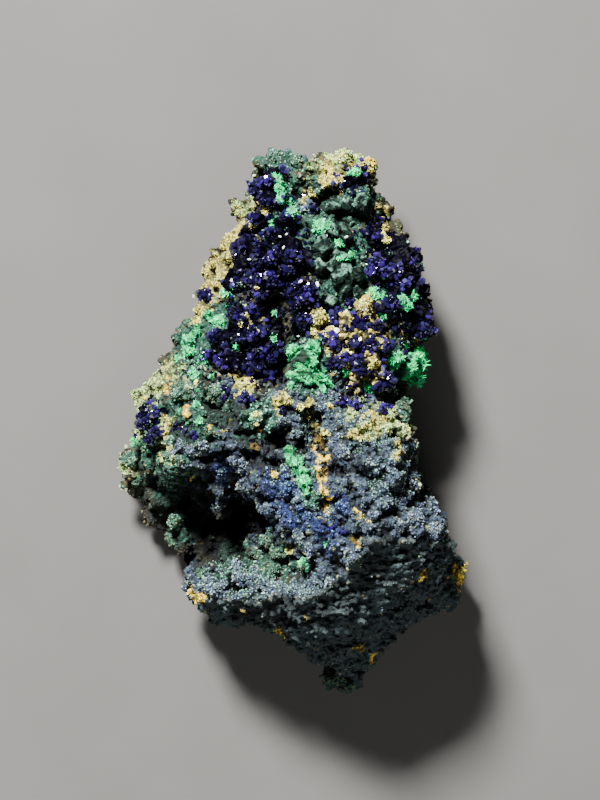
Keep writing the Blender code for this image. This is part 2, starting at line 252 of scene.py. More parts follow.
def recess_depth(mesh):
    """How far each point lies under the surface smoothed round it, in millimetres."""
    points, normals = points_and_normals(mesh)
    ends = np.zeros(len(mesh.edges) * 2, int)
    mesh.edges.foreach_get("vertices", ends)
    one, other = ends.reshape(-1, 2).T
    neighbours = np.bincount(ends, minlength=len(points))
    smooth = points.copy()
    for _ in range(SMOOTHING_ROUNDS):
        total = np.zeros_like(smooth)
        for axis in range(3):
            total[:, axis] = np.bincount(one, smooth[other, axis], len(points))
            total[:, axis] += np.bincount(other, smooth[one, axis], len(points))
        smooth = total / neighbours[:, None]
    return ((smooth - points) * normals).sum(axis=1)


rock = merged_copy("matrix", "limonite_rock")
voxel_remesh(rock, COARSE_VOXEL)
weather_coarsely(rock.data)
voxel_remesh(rock, FINE_VOXEL)
weather_finely(rock.data)
thin_out(rock, ROCK_TRIANGLES)


def row(x0, y0, x1, y1, count, radius):
    """Places in an even row from one point to another."""
    steps = [k / (count - 1) for k in range(count)]
    return [(x0 + (x1 - x0) * step, y0 + (y1 - y0) * step, radius) for step in steps]


# Where each mineral lies on the rock, in millimetres: patches (x, y, radius) seen from above.
SLATE_BLUE = [
    (10, -7, 9), (12, -15, 10), (1, -12, 8), (-2, -7, 6), (6, -19, 8), (-6, -5, 6), (-13, -6, 5),
    (3, 1, 5), (18, -16, 7), (0, 2.5, 4), (-8, -10, 4), (9, -24, 8), (-6, -25, 6), (-12, -23, 4),
    (-4, -1.5, 3.5), (1.4, 29.5, 1.4), (-15, 4, 3), (-17, -2, 2), (12, 3, 3), (6, 5, 2), (-8, 4, 2.5),
    (6, -33, 5), (18, -24, 6),
]
DEEP_BLUE = [
    (-2, -8.5, 3), (0.5, -12, 3.5), (-4, -13.5, 2.6), (4.5, -15, 2.6), (6, -11.5, 1.8), (-9.5, -6.5, 2),
]
CREAM_SAND = [
    (-8.5, 25.5, 3), (-10, 21.5, 3.2), (-11.5, 18, 2.6), (12.3, 29, 1.6), (12.8, 26, 1.5),
    (9.4, 35.6, 1.6), (-3, 10.5, 1), (-3.8, 29.8, 1.3), (2.6, 31.4, 1.3), (-17.5, 7.5, 1),
    (-17.6, -1.2, 0.9), (16.4, 12.2, 1.4), (9, -1.2, 1), (12, -0.4, 1), (14.6, -3.6, 0.9),
    (10.8, 0.8, 0.8),
]
PALE_GREEN_CRUST = [
    (7, 36.8, 3.6), (10.2, 36, 2), (3.2, 35.2, 1.6), (-6.4, 29.8, 2), (-8, 28.4, 1.4), (-20.6, 5.4, 3),
    (-21.5, 3, 2.2), (-24, -6.5, 1.8), (-22.5, -2, 1.4), (-16.6, 7.4, 1.2), (8.5, 1.7, 1.4),
    (12.2, 0.3, 2.3), (10.4, -1.4, 1.6), (14.8, -0.6, 1.4), (-16.2, 5.2, 1.6), (-17.6, -0.2, 1.2),
    (-17.4, -4.4, 1.4),
]
OCHRE_SAND = [
    (5.6, 34.2, 2), (4.2, 13.6, 1.7), (6.8, 11, 2), (10.6, 8.6, 2), (10.4, 15.8, 2.1), (12, 11.6, 1.4),
    (8.6, 6.2, 1.6), (-6.4, 5.6, 1.7), (-1.6, 2.9, 1.2), (2.4, 2.2, 1), (-6, 13.6, 1),
    (-4.4, 14.6, 0.8), (-13, 15.6, 1.4), (-0.3, -17.8, 0.8), (-9, 26.5, 1.2), (18.4, 15.6, 1),
    (3.4, -1, 0.9),
]
GREEN_FILM = [
    (-3.2, 36.8, 2.4), (0.2, 36.6, 2.2), (5, 26, 5), (7, 22, 5), (6, 18, 4), (3, 29, 3.4), (9, 30, 3.4),
    (-1, 33, 2.4), (-12, 12, 5), (-14, 9, 4), (-9, 14, 3), (16, 8, 4), (14.5, 5.5, 2.8), (2, 8, 4),
    (0.5, -5, 1.7), (1.6, -7.5, 1.7), (2.3, -10, 1.5), (-2.5, -19, 3.4), (4, 32, 2.4), (-17, 0, 4),
    (-12, 2, 4), (-20, -4, 3), (-5.5, 9.5, 2), (-13.5, -1, 3.6), (13.5, 17.5, 2.4), (17.5, 20, 2.6),
    (16.5, 1.5, 2.2), (-15, -14.5, 3.4), (-3.5, 28, 2), (0.5, 29.5, 2), (-17.5, -4.5, 2.4), (-5, 0, 3),
    (8, 37, 2), (-9, 22, 1.6), (-17, -9, 4), (-8, -19, 3),
]
RUST = [
    (-13.5, -24.8, 1.2), (11, 36.2, 0.7), (23.4, -22, 1.6), (-17.6, 4.4, 0.7), (9.4, -31.5, 0.6),
    (-1.8, -29.6, 0.7), (1.9, -27.6, 0.5), (11.4, -33.6, 0.6), (-6.4, -26.4, 0.5), (17.5, -21.5, 0.7),
    (9, -16, 0.8), (-5.5, -3.2, 0.7), (-14.5, 1.6, 0.6), (11, 1, 0.6), (3.8, -2.6, 0.9),
    *row(4.1, -4, 5.1, -12.3, 7, 0.58),
]
# Pale bloom patches; the share drawn from them keeps to the faces towards the key lamp, so it is partly
# painted highlight.
PALE_BLOOM = [
    (13.5, -1.8, 2.6), (-2, 37.4, 2.4), (-6, -22.3, 3.6), (-1, -23.2, 3.4), (4, -23.8, 3),
    (-10, -22.4, 3.2), (-17, -7, 1.6), (10, 0, 4), (3, 0.5, 3), (-3, 2, 3), (-11, -12.3, 1.3),
    (1.4, 29.5, 1.2), (20, -19, 2.5), (0, -8, 3), (13, -8, 3), (-13, 7, 3), (5.7, 33.4, 2.6),
    (12.7, 29.9, 1.7), (-1.3, 29.9, 1.5), (1.2, 30.5, 1.5), (-8.3, 22.8, 2.4), (-9.5, 19.5, 2.4),
    (2.2, 1.9, 2), (16.2, -5.1, 2.4), (16.6, -8.6, 2.2), (5.7, -12, 1.8), (2.2, -12, 1.8),
    (4.4, 26.3, 1.4), (12.6, 21, 1.8), (16, 20, 1.8), (7, 36.5, 3), (5, 15, 1.6),
]
# Painted shade: patches where the stone is painted darker as shade falls there, in the hollow at the lower
# left, under ledges and on the face just below the break.
PAINTED_SHADE_PATCHES = [
    (-9.4, -14, 6), (-15.5, -13, 5), (-12, -18, 4), (0.5, -3.2, 2), (2.2, -1.2, 1.4), (-9.5, 1, 2.8),
    (-6.5, -3.8, 2.4), (-14.5, -10.5, 3.2), (-4.8, -5.3, 2.8), (-1.6, -5.6, 1.8), (-8.6, -5.1, 1.8),
    (-12, -5.1, 1.8), (5.9, -5.4, 1.7), (9.2, -5.8, 1.5), (-19, -12, 2.4), (-4.8, -14.2, 3),
    (-1.8, -15.8, 2.4), (-12, -19, 3.2), (-16, -19, 2.4), (-8.2, -18.8, 2.4), (12.8, -15.2, 1.5),
    (5.9, -23, 1.4), (-11.8, 5.4, 1.5), (-15.4, -1.8, 1.2), (-1.5, 5.2, 1.2), (-18.8, -8.5, 1.8),
    (11, -8.6, 1), (-6.5, -26.6, 2.4), (-1.4, -26.6, 2.4), (3.6, -26.2, 2.4), (7.8, -25.4, 2),
]
PATCH_WANDER, PATCH_WAVE = 1.2, 2.2
SPILL_NEAR, SPILL_FAR = 0.5, 3.0


def patch_share(points, patches, seed, stray=0.0):
    """How much of a mineral lies at each point: 1 inside its patches, ragged at the edges.
    A stray share lets it turn up in small spots elsewhere too."""
    wander = np.stack([noise_at(points, PATCH_WAVE, seed + k) for k in (0.0, 50.0)], axis=1)
    flat = points[:, :2] + wander * PATCH_WANDER
    field = np.full(len(points), stray - 0.6)
    for x, y, radius in patches:
        field = np.maximum(field, 1.0 - np.hypot(flat[:, 0] - x, flat[:, 1] - y) / radius)
    field += 0.55 * noise_at(points, 1.5, seed + 90.0) + 0.4 * noise_at(points, 0.6, seed + 120.0)
    return smoothstep(0.0, 0.16, field)


def bloom_and_highlight_share(points, normals):
    """The share of pale film and painted highlight on the faces that look up and towards the narrow end,
    where the key lamp is, above the break.
    """
    above = 1.0 - 0.85 * below_break(points)
    lit = smoothstep(0.0, 0.5, normals[:, 1] + 0.5 * normals[:, 2])
    return patch_share(points, PALE_BLOOM, 5.0) * lit * above


points, normals = points_and_normals(rock.data)
away = smoothstep(0.3, 0.7, points[:, 2])
front = smoothstep(-0.25, 0.15, normals[:, 2]) * away
under = below_break(points)
recess = recess_depth(rock.data)
# Painted shade: dark marks the recesses and the shaded patches, where the stone and its grains are painted
# darker.
dark = np.clip(smoothstep(0.02, 0.6, recess) + 0.8 * patch_share(points, PAINTED_SHADE_PATCHES, 6.0), 0.0, 1.0)
# The grains on the crests are painted paler, partly pale dusting and partly painted highlight.
crest = smoothstep(0.0, 0.45, -recess)
height = smoothstep(1.0, 8.0, points[:, 2] + 2.5 * noise_at(points, 4.0, 33.0))
rust = patch_share(points, RUST, 3.0, 0.08) * front
ochre = patch_share(points, OCHRE_SAND, 2.0, 0.05) * front * (1.0 - rust)
free = front * (1.0 - rust) * (1.0 - ochre)
cream = patch_share(points, CREAM_SAND, 7.0, 0.15) * free * height
lichen = patch_share(points, PALE_GREEN_CRUST, 8.0, 0.15) * free * (1.0 - cream)
green = patch_share(points, GREEN_FILM, 4.0, 0.3) * free * (0.3 + 0.7 * height)
green *= (1.0 - 0.8 * cream) * (1.0 - 0.8 * lichen)
blue = patch_share(points, SLATE_BLUE, 1.0, 0.35) * free * (0.2 + 0.8 * height) * (1.0 - 0.85 * under)
blue *= (1.0 - cream) * (1.0 - 0.6 * green) * (1.0 - 0.7 * lichen)
deep_blue = blue * patch_share(points, DEEP_BLUE, 9.0)
blue -= deep_blue
layered = under * (1.0 - 0.8 * blue) * (1.0 - rust) * away
minerals = blue + deep_blue + ochre + cream + lichen + green + rust
plain = np.clip(1.0 - minerals, 0.0, 1.0) * away * (0.45 + 0.55 * front) * (1.0 - layered)
spill_reach = distance_to(points, [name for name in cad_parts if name.startswith("azurite_")])
spill_reach += 1.6 * noise_at(points, 1.6, 77.0)
spill = (1.0 - smoothstep(SPILL_NEAR, SPILL_FAR, spill_reach)) * front
store_shares(
    rock.data, blue=blue, deep_blue=deep_blue, cream=cream, lichen=lichen, ochre=ochre, rust=rust,
    green=green, bloom=bloom_and_highlight_share(points, normals), layered=layered, plain=plain, dark=dark,
    crest=crest, spill=spill)


def add_node(tree, kind, inputs=None, **settings):
    """A node with its settings, its values and the sockets that feed it."""
    node = tree.nodes.new(kind)
    for setting, value in settings.items():
        setattr(node, setting, value)
    for socket, value in (inputs or {}).items():
        if isinstance(value, bpy.types.NodeSocket):
            tree.links.new(value, node.inputs[socket])
        else:
            node.inputs[socket].default_value = value
    return node


def arithmetic(tree, operation, first, second):
    return add_node(tree, "ShaderNodeMath", {0: first, 1: second}, operation=operation).outputs[0]


def mix_colours(tree, share, first, second):
    return add_node(tree, "ShaderNodeMix", {0: share, 6: first, 7: second}, data_type="RGBA").outputs[2]


def colour_ramp(tree, share, stops):
    ramp = add_node(tree, "ShaderNodeValToRGB", {"Fac": share})
    elements = ramp.color_ramp.elements
    while len(elements) < len(stops):
        elements.new(0.5)
    for element, (position, colour) in zip(elements, stops):
        element.position = position
        element.color = (*colour, 1.0)
    return ramp.outputs["Color"]


def start_material(name, roughness, specular=0.5):
    material = bpy.data.materials.new(name)
    material.use_nodes = True
    shader = material.node_tree.nodes["Principled BSDF"]
    shader.inputs["Roughness"].default_value = roughness
    shader.inputs["Specular IOR Level"].default_value = specular
    return material, material.node_tree, shader


def share_of(tree, name):
    return add_node(tree, "ShaderNodeAttribute", attribute_name=name).outputs["Fac"]


def noise_share(tree, per_metre, detail):
    """Noise from 0 to 1 over the piece's own coordinates."""
    place = add_node(tree, "ShaderNodeTexCoord").outputs["Object"]
    fields = {"Vector": place, "Scale": per_metre, "Detail": detail}
    return add_node(tree, "ShaderNodeTexNoise", fields).outputs["Fac"]


def shade_range(places, *colours):
    """Shades from dark to pale: their places on a ramp, and each one's colour in thousandths."""
    return [(place, tuple(part / 1000 for part in colour)) for place, colour in zip(places, colours)]


# The bare stone's shades, and each mineral's from its recesses to its crests: the grains take the dark
# ends as painted shade in the recesses, and the pale ends on the crests, partly as painted highlight.
EVEN_STEPS = (0, 0.25, 0.45, 0.65, 0.85, 1)
FINE_STEPS = (0, 0.25, 0.45, 0.6, 0.75, 0.9, 1)
SAND_STEPS = (0, 0.2, 0.4, 0.6, 0.78, 1)
STONE = shade_range((0.28, 0.45, 0.6, 0.75), (2, 2, 1.5), (9, 9, 5), (26, 24, 11), (75, 60, 22))
SLATE = shade_range(
    FINE_STEPS, (0.8, 1.2, 2), (4, 6, 9), (14, 21, 32), (33, 48, 66), (66, 90, 120), (140, 185, 250),
    (270, 360, 500))
AZURE = shade_range(
    EVEN_STEPS, (0.3, 0.5, 2), (1, 2, 9), (4, 7, 30), (14, 24, 80), (50, 85, 200), (200, 320, 550))
EMERALD = shade_range(
    EVEN_STEPS, (0.6, 2.2, 1.4), (2, 9, 6), (6, 27, 17), (15, 55, 36), (40, 118, 76), (160, 320, 220))
CREAM = shade_range(
    SAND_STEPS, (2, 2, 1), (16, 14, 4), (100, 88, 22), (380, 320, 62), (780, 630, 95), (1000, 840, 130))
LICHEN = shade_range(
    SAND_STEPS, (2, 3, 1), (14, 17, 8), (70, 88, 34), (240, 350, 110), (500, 800, 220),
    (780, 1000, 320))
OCHRE = shade_range(
    SAND_STEPS, (3, 3, 1), (24, 21, 6), (140, 125, 26), (440, 380, 65), (800, 660, 95),
    (1000, 860, 140))
ORANGE = shade_range(
    (0, 0.2, 0.42, 0.65, 1), (5, 3, 1), (40, 26, 4), (240, 150, 18), (640, 460, 30), (1000, 800, 50))
LAYERED = shade_range((0, 0.4, 0.7, 1), (8, 13, 15), (15, 24, 29), (22, 33, 35), (30, 40, 36))

STONE_STEPS = (0.32, 0.5, 0.68)
PALER = 1.3


def stone_shades(shades):
    """The middle of a mineral's range of shades, a little paler, for the stone under its grains."""
    paler = [tuple(PALER * part for part in colour) for _, colour in shades[1:4]]
    return list(zip(STONE_STEPS, paler))


rock_finish, tree, shader = start_material("weathered_limonite", 0.9, 0.2)
mottle = noise_share(tree, per_metre=420.0, detail=4.0)
speckle = noise_share(tree, per_metre=2600.0, detail=3.0)
colour = colour_ramp(tree, mottle, STONE)
stains = {
    "blue": SLATE, "deep_blue": AZURE, "green": EMERALD, "cream": CREAM, "lichen": LICHEN, "ochre": OCHRE,
    "rust": ORANGE, "layered": LAYERED,
}
for name, shades in stains.items():
    stained = colour_ramp(tree, speckle, stone_shades(shades))
    colour = mix_colours(tree, share_of(tree, name), colour, stained)
# Painted shade: the stone is mixed towards near black in its recesses and shaded patches.
PAINTED_SHADE_BLACK = (0.002, 0.0025, 0.002, 1.0)
shadow = arithmetic(tree, "MULTIPLY", share_of(tree, "dark"), 0.85)
colour = mix_colours(tree, shadow, colour, PAINTED_SHADE_BLACK)
tree.links.new(colour, shader.inputs["Base Color"])
bump = add_node(tree, "ShaderNodeBump", {"Height": speckle, "Strength": 0.6, "Distance": 0.3 * MM})
tree.links.new(bump.outputs["Normal"], shader.inputs["Normal"])
rock.data.materials.append(rock_finish)
rock.data.shade_flat()
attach(rock, "root")
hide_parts("matrix")

# ---------------------------------------------------------------------------------------------
# Mineral grains: fine angular grains of azurite, malachite and limonite sand that coat the rock.
# They grew on it or are cemented to it, so each set is scattered over the rock's own surface.


def mesh_from(name, bm):
    """What was built in bm, as a mesh."""
    mesh = bpy.data.meshes.new(name)
    bm.to_mesh(mesh)
    bm.free()
    return mesh


def hull_mesh(name, corners):
    """The closed faceted solid round these corners."""
    bm = bmesh.new()
    for corner in corners:
        bm.verts.new(corner)
    hull = bmesh.ops.convex_hull(bm, input=bm.verts)
    inside = [item for item in hull["geom_interior"] if isinstance(item, bmesh.types.BMVert)]
    bmesh.ops.delete(bm, geom=inside, context="VERTS")
    bmesh.ops.recalc_face_normals(bm, faces=bm.faces)
    return mesh_from(name, bm)


def shape_set(name, meshes):
    """A collection of shapes for Geometry Nodes to pick from, outside the scene."""
    shapes = bpy.data.collections.new(name)
    for mesh in meshes:
        shapes.objects.link(bpy.data.objects.new(mesh.name, mesh))
    return shapes


def chip_corners(random, count):
    """Corners spread over a ball half a unit in radius, as even as a few random draws allow."""
    corners = []

    def room_round(draw):
        return min([(draw - corner).length for corner in corners], default=0.0)

    while len(corners) < count:
        draws = [Vector(random.normal(size=3)).normalized() * 0.5 for _ in range(6)]
        corners.append(max(draws, key=room_round))
    return corners


random = np.random.default_rng(3)
chips = shape_set("chips", [hull_mesh(f"chip_{k}", chip_corners(random, 7)) for k in range(6)])


MIDDLE_TINT = 0.27


def build_growth_tree():
    """Scatters shapes over a surface, more where its named share is high, and joins them."""
    tree = bpy.data.node_groups.new("mineral growth", "GeometryNodeTree")
    sockets = {
        "Geometry": ["Surface"], "Collection": ["Shapes"],
        "Float": ["Spacing", "Smallest", "Largest", "Lean", "Stretch", "Cluster"],
        "String": ["Share"], "Int": ["Seed"], "Material": ["Material"],
    }
    for kind, names in sockets.items():
        for name in names:
            tree.interface.new_socket(name, in_out="INPUT", socket_type=f"NodeSocket{kind}")
    tree.interface.new_socket("Grains", in_out="OUTPUT", socket_type="NodeSocketGeometry")
    given = tree.nodes.new("NodeGroupInput").outputs

    def made(kind, inputs=None, output=0, **settings):
        return add_node(tree, kind, inputs, **settings).outputs[output]

    def named(name):
        return made("GeometryNodeInputNamedAttribute", {"Name": name}, "Attribute", data_type="FLOAT")

    def triple(x, y, z):
        return made("ShaderNodeCombineXYZ", {"X": x, "Y": y, "Z": z})

    def drawn_share(seed):
        return made("FunctionNodeRandomValue", {"Seed": seed}, 1, data_type="FLOAT")

    def drawn_triple(seed, low, high):
        return made("FunctionNodeRandomValue", {0: low, 1: high, "Seed": seed}, data_type="FLOAT_VECTOR")

    packing = arithmetic(tree, "DIVIDE", 1.2, given["Spacing"])
    spread = add_node(
        tree, "GeometryNodeDistributePointsOnFaces",
        {"Mesh": given["Surface"], "Distance Min": given["Spacing"],
         "Density Max": arithmetic(tree, "MULTIPLY", packing, packing),
         "Density Factor": named(given["Share"]), "Seed": given["Seed"]},
        distribute_method="POISSON").outputs

    draw = drawn_share(given["Seed"])
    mostly_small = arithmetic(tree, "MULTIPLY", draw, draw)
    size = made(
        "ShaderNodeMapRange",
        {"Value": mostly_small, "To Min": given["Smallest"], "To Max": given["Largest"]})
    squash = drawn_triple(3, (0.7, 0.7, 0.8), (1.25, 1.25, 1.2))
    longer = triple(1.0, 1.0, given["Stretch"])
    shape = made("ShaderNodeVectorMath", {0: squash, 1: longer}, operation="MULTIPLY")
    scale = made("ShaderNodeVectorMath", {0: shape, "Scale": size}, operation="SCALE")

    lean = given["Lean"]
    back = arithmetic(tree, "MULTIPLY", lean, -1.0)
    turn = drawn_triple(5, triple(back, back, -math.pi), triple(lean, lean, math.pi))
    turned = made(
        "FunctionNodeRotateRotation", {"Rotation": spread["Rotation"], "Rotate By": turn},
        rotation_space="LOCAL")
    picked = made(
        "GeometryNodeCollectionInfo",
        {"Collection": given["Shapes"], "Separate Children": True, "Reset Children": True})
    placed = made(
        "GeometryNodeInstanceOnPoints",
        {"Points": spread["Points"], "Instance": picked, "Pick Instance": True, "Rotation": turned,
         "Scale": scale})

    # A grain's tint adds up its own random draw, its neighbourhood's shade and whether it lies on a crest,
    # in a recess or under the pale film, each with its weight. The recess term is painted shade; the crest
    # and pale-film terms are partly pale dusting and film, and partly painted highlight.
    cluster = made("ShaderNodeTexNoise", {"Scale": given["Cluster"], "Detail": 1.0})
    shade = made("ShaderNodeMapRange", {"Value": cluster, "From Min": 0.32, "From Max": 0.68})
    weights = (
        (drawn_share(7), 0.13), (shade, 0.28), (named("crest"), 0.38), (named("dark"), -0.55),
        (named("bloom"), 0.16))
    tint = MIDDLE_TINT
    for part, weight in weights:
        tint = arithmetic(tree, "ADD", tint, arithmetic(tree, "MULTIPLY", part, weight))
    number = made("GeometryNodeInputIndex")
    labels = (("tint", "FLOAT", tint), ("shade", "FLOAT", shade), ("grain", "INT", number))
    for name, kind, value in labels:
        placed = made(
            "GeometryNodeStoreNamedAttribute", {"Geometry": placed, "Name": name, "Value": value},
            data_type=kind, domain="INSTANCE")
    joined = made("GeometryNodeRealizeInstances", {"Geometry": placed})
    finished = made("GeometryNodeSetMaterial", {"Geometry": joined, "Material": given["Material"]})
    tree.links.new(finished, tree.nodes.new("NodeGroupOutput").inputs["Grains"])
    return tree


growth_tree = build_growth_tree()


def give_each_grain_a_cell(mesh):
    """A map on which all the faces of one grain lie in one small cell, as they share a colour."""
    grain = np.zeros(len(mesh.vertices), int)
    mesh.attributes["grain"].data.foreach_get("value", grain)
    vertex = np.zeros(len(mesh.loops), int)
    mesh.loops.foreach_get("vertex_index", vertex)
    cell = grain[vertex]
    side = math.ceil(math.sqrt(cell.max() + 1))
    corner = np.array(((0.2, 0.2), (0.8, 0.2), (0.2, 0.8)))[np.arange(len(cell)) % 3]
    places = (np.stack((cell % side, cell // side), axis=1) + corner) / side
    mesh.uv_layers.new(name="OFBake").uv.foreach_set("vector", places.ravel())
    mesh.attributes.remove(mesh.attributes["grain"])


def grow(name, surface, slot, shapes, material, share, seed, spacing, smallest, largest,
         lean=0.8, stretch=1.0, cluster=600.0):
    """The grains that grow on a surface's mesh, as a finished piece. Lengths are in millimetres."""
    values = {
        "Shapes": shapes, "Material": material, "Share": share, "Seed": seed, "Spacing": spacing * MM,
        "Smallest": smallest * MM, "Largest": largest * MM, "Lean": lean, "Stretch": stretch,
        "Cluster": cluster,
    }
    grains = new_object(name, surface.copy())
    modifier = grains.modifiers.new("growth", "NODES")
    modifier.node_group = growth_tree
    for item in growth_tree.interface.items_tree:
        if item.name in values:
            modifier[item.identifier] = values[item.name]
    mesh = evaluated_mesh(grains)
    grains.modifiers.clear()
    grains.data = mesh
    give_each_grain_a_cell(mesh)
    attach(grains, "root")
    return grains


# How strongly grains are mixed towards the pale colour of the film and painted highlight.
BLOOM_AND_HIGHLIGHT_STRENGTH = 0.75


def tinted_material(name, ramps, roughness, specular=0.4, bloom_and_highlight_colour=None):
    """Each grain has one colour, drawn by its tint from a ramp that its neighbourhood chooses.
    It is paler where the pale film and painted highlight lie."""
    material, tree, shader = start_material(name, roughness, specular)
    tint = share_of(tree, "tint")
    colour = colour_ramp(tree, tint, ramps[0])
    for k, stops in enumerate(ramps[1:], 1):
        span = {"From Min": (k - 0.7) / len(ramps), "From Max": (k + 0.3) / len(ramps)}
        reach = add_node(tree, "ShaderNodeMapRange", {"Value": share_of(tree, "shade"), **span})
        colour = mix_colours(tree, reach.outputs[0], colour, colour_ramp(tree, tint, stops))
    if bloom_and_highlight_colour:
        bloom = arithmetic(tree, "MULTIPLY", share_of(tree, "bloom"), BLOOM_AND_HIGHLIGHT_STRENGTH)
        colour = mix_colours(tree, bloom, colour, bloom_and_highlight_colour)
    tree.links.new(colour, shader.inputs["Base Color"])
    return material


# The pale colour of the film and of the painted highlight on the faces towards the key lamp.
PALE_BLOOM_AND_HIGHLIGHT = (0.125, 0.26, 0.185, 1.0)
NAVY = shade_range(
    FINE_STEPS, (0.5, 0.8, 2.5), (1.5, 3, 10), (6, 11, 33), (16, 26, 62), (38, 56, 110), (95, 135, 240),
    (220, 310, 520))
MOSS = shade_range(
    FINE_STEPS, (1, 2, 1), (6, 10, 6), (20, 31, 20), (48, 68, 42), (90, 125, 73), (180, 230, 125),
    (360, 440, 220))
COARSE_STEPS = (0, 0.3, 0.5, 0.75, 1)
OLIVE = shade_range(COARSE_STEPS, (1, 1, 0.6), (6, 6, 4), (18, 18, 11), (50, 50, 28), (200, 190, 100))
UMBER = shade_range(COARSE_STEPS, (1, 0.6, 0.4), (8, 6, 3), (24, 18, 9), (70, 50, 22), (260, 190, 80))
blue_film = tinted_material("blue_film", [AZURE, NAVY, AZURE], 0.5, 0.3, PALE_BLOOM_AND_HIGHLIGHT)
slate = tinted_material("azurite_druse", [NAVY, SLATE, MOSS, SLATE], 0.55, 0.25, PALE_BLOOM_AND_HIGHLIGHT)
cream_sand = tinted_material("cream_sand", [CREAM, LICHEN, CREAM], 0.75, 0.08)
pale_green_sand = tinted_material("pale_green_sand", [LICHEN, LICHEN, LICHEN, CREAM], 0.75, 0.08)
layered_grit = tinted_material("layered_grit", [LAYERED, OLIVE, LAYERED], 0.85, 0.2)
ochre_sand = tinted_material("ochre_sand", [OCHRE, CREAM, OCHRE], 0.75, 0.08)
rusty_sand = tinted_material("rusty_sand", [ORANGE, ORANGE, OCHRE], 0.75, 0.08)
green_dust = tinted_material("malachite_dust", [EMERALD, MOSS, EMERALD], 0.55, 0.25, PALE_BLOOM_AND_HIGHLIGHT)
moss_grains = tinted_material("moss_grains", [MOSS, OLIVE, MOSS, EMERALD], 0.7, 0.15, PALE_BLOOM_AND_HIGHLIGHT)
olive_grit = tinted_material("olive_grit", [OLIVE, UMBER, MOSS], 0.8, 0.3)

# Each set of grains: its share of the rock, its spacing, smallest and largest in millimetres, its
# seed and its material.
for name, share, *sizes, seed, material in (
    ("azurite_druse", "blue", 0.31, 0.18, 0.56, 11, slate),
    ("blue_film", "deep_blue", 0.31, 0.18, 0.56, 19, blue_film),
    ("cream_sand", "cream", 0.27, 0.14, 0.36, 12, cream_sand),
    ("ochre_sand", "ochre", 0.27, 0.14, 0.38, 16, ochre_sand),
    ("rusty_sand", "rust", 0.29, 0.14, 0.48, 17, rusty_sand),
    ("malachite_dust", "green", 0.34, 0.16, 0.60, 13, green_dust),
    ("pale_green_sand", "lichen", 0.27, 0.14, 0.36, 18, pale_green_sand),
    ("olive_grit", "plain", 0.50, 0.22, 0.8, 14, olive_grit),
    ("layered_grit", "layered", 0.46, 0.16, 0.42, 15, layered_grit),
):
    grow(name, rock.data, "limonite", chips, material, share, seed, *sizes, stretch=0.7, cluster=480.0)

# ---------------------------------------------------------------------------------------------
# The azurite: crusts of small, glossy, violet-blue crystals that radiate from rounded knobs.
# Each crust grew where it sits, so its knobs hug the rock and its crystals hide the join.

CRUST_VOXEL = 0.28 * MM


def crystal_corners(random, sides):
    """A stubby prism with a wedge-shaped tip, one unit wide, its foot a third of a unit down."""
    turns = [2.0 * math.pi * (k + random.uniform(-0.2, 0.2)) / sides for k in range(sides)]
    shoulder = random.uniform(0.35, 0.6)
    corners = [(0.42 * math.cos(a), 0.42 * math.sin(a), -0.35) for a in turns]
    corners += [(0.5 * math.cos(a), 0.5 * math.sin(a), shoulder) for a in turns]
    tip = random.uniform(0.1, 0.25)
    return corners + [(tip, 0.05, shoulder + 0.3), (-tip, -0.05, shoulder + 0.3)]


def grow_knobs(base, knob, depth, seed, finish):
    """Turns a plain body into rounded knobs with smaller knobs on them."""
    voxel_remesh(base, CRUST_VOXEL)
    points, normals = points_and_normals(base.data)
    crooked = bent(points, seed)
    relief = np.zeros(len(points))
    for size, rise in ((knob, depth), (0.5 * knob, 0.4 * depth)):
        relief += rise * bulges(crooked, size, seed + size, crease=0.42, level=0.62)
    points += normals * relief[:, None]
    set_points(base.data, points)
    recess = recess_depth(base.data)
    deep = smoothstep(0.05, 0.6, recess)
    patchy = noise_at(points, 2.4, seed + 5.0) + 0.5 * noise_at(points, 0.9, seed + 9.0)
    bare = smoothstep(0.26, 0.42, patchy)
    outer = smoothstep(-0.35, 0.05, normals[:, 2]) * (1.0 - 0.85 * deep)
    # Painted light on the crust: dark is painted shade in its recesses; crest and the pale-film share are
    # partly painted highlight.
    store_shares(
        base.data, outer=outer, covered=outer * (1.0 - bare), bare=outer * bare, dark=deep,
        crest=smoothstep(0.0, 0.4, -recess), bloom=bloom_and_highlight_share(points, normals))
    base.data.materials.append(finish)
    base.data.shade_flat()
    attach(base, "root")


def crust_base(node, knob, depth, seed, finish):
    """A crust's knobbly body, which stands for its CAD node."""
    base = merged_copy(node, f"{node}_base")
    grow_knobs(base, knob, depth, seed, finish)
    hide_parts(node)
    return base


random = np.random.default_rng(5)
crystals = shape_set(
    "azurite_crystals", [hull_mesh(f"crystal_{k}", crystal_corners(random, 4 + k % 3)) for k in range(6)])

VIOLET = shade_range(
    (0, 0.4, 0.62, 0.8, 1), (0.2, 0.1, 1), (0.7, 0.2, 3), (1.8, 0.5, 10), (5, 1.5, 26), (19, 8, 88))
INDIGO = shade_range(
    (0, 0.4, 0.65, 0.85, 1), (0.2, 0.2, 1), (0.6, 0.5, 2.5), (1.8, 1.4, 8), (6, 5, 24), (22, 20, 74))
azurite = tinted_material("azurite", [VIOLET, INDIGO, VIOLET], 0.14, 0.6)
DEEP_VIOLET = shade_range((0.35, 0.7), (0.2, 0.1, 0.8), (0.4, 0.2, 4))


def mottled_finish(name, roughness, specular, stops, per_metre, detail, painted_shade_colour=None):
    """A finish mottled with these shades, with painted shade in the recesses if its colour is given."""
    material, tree, shader = start_material(name, roughness, specular)
    colour = colour_ramp(tree, noise_share(tree, per_metre, detail), stops)
    if painted_shade_colour:
        colour = mix_colours(tree, share_of(tree, "dark"), colour, painted_shade_colour)
    tree.links.new(colour, shader.inputs["Base Color"])
    return material


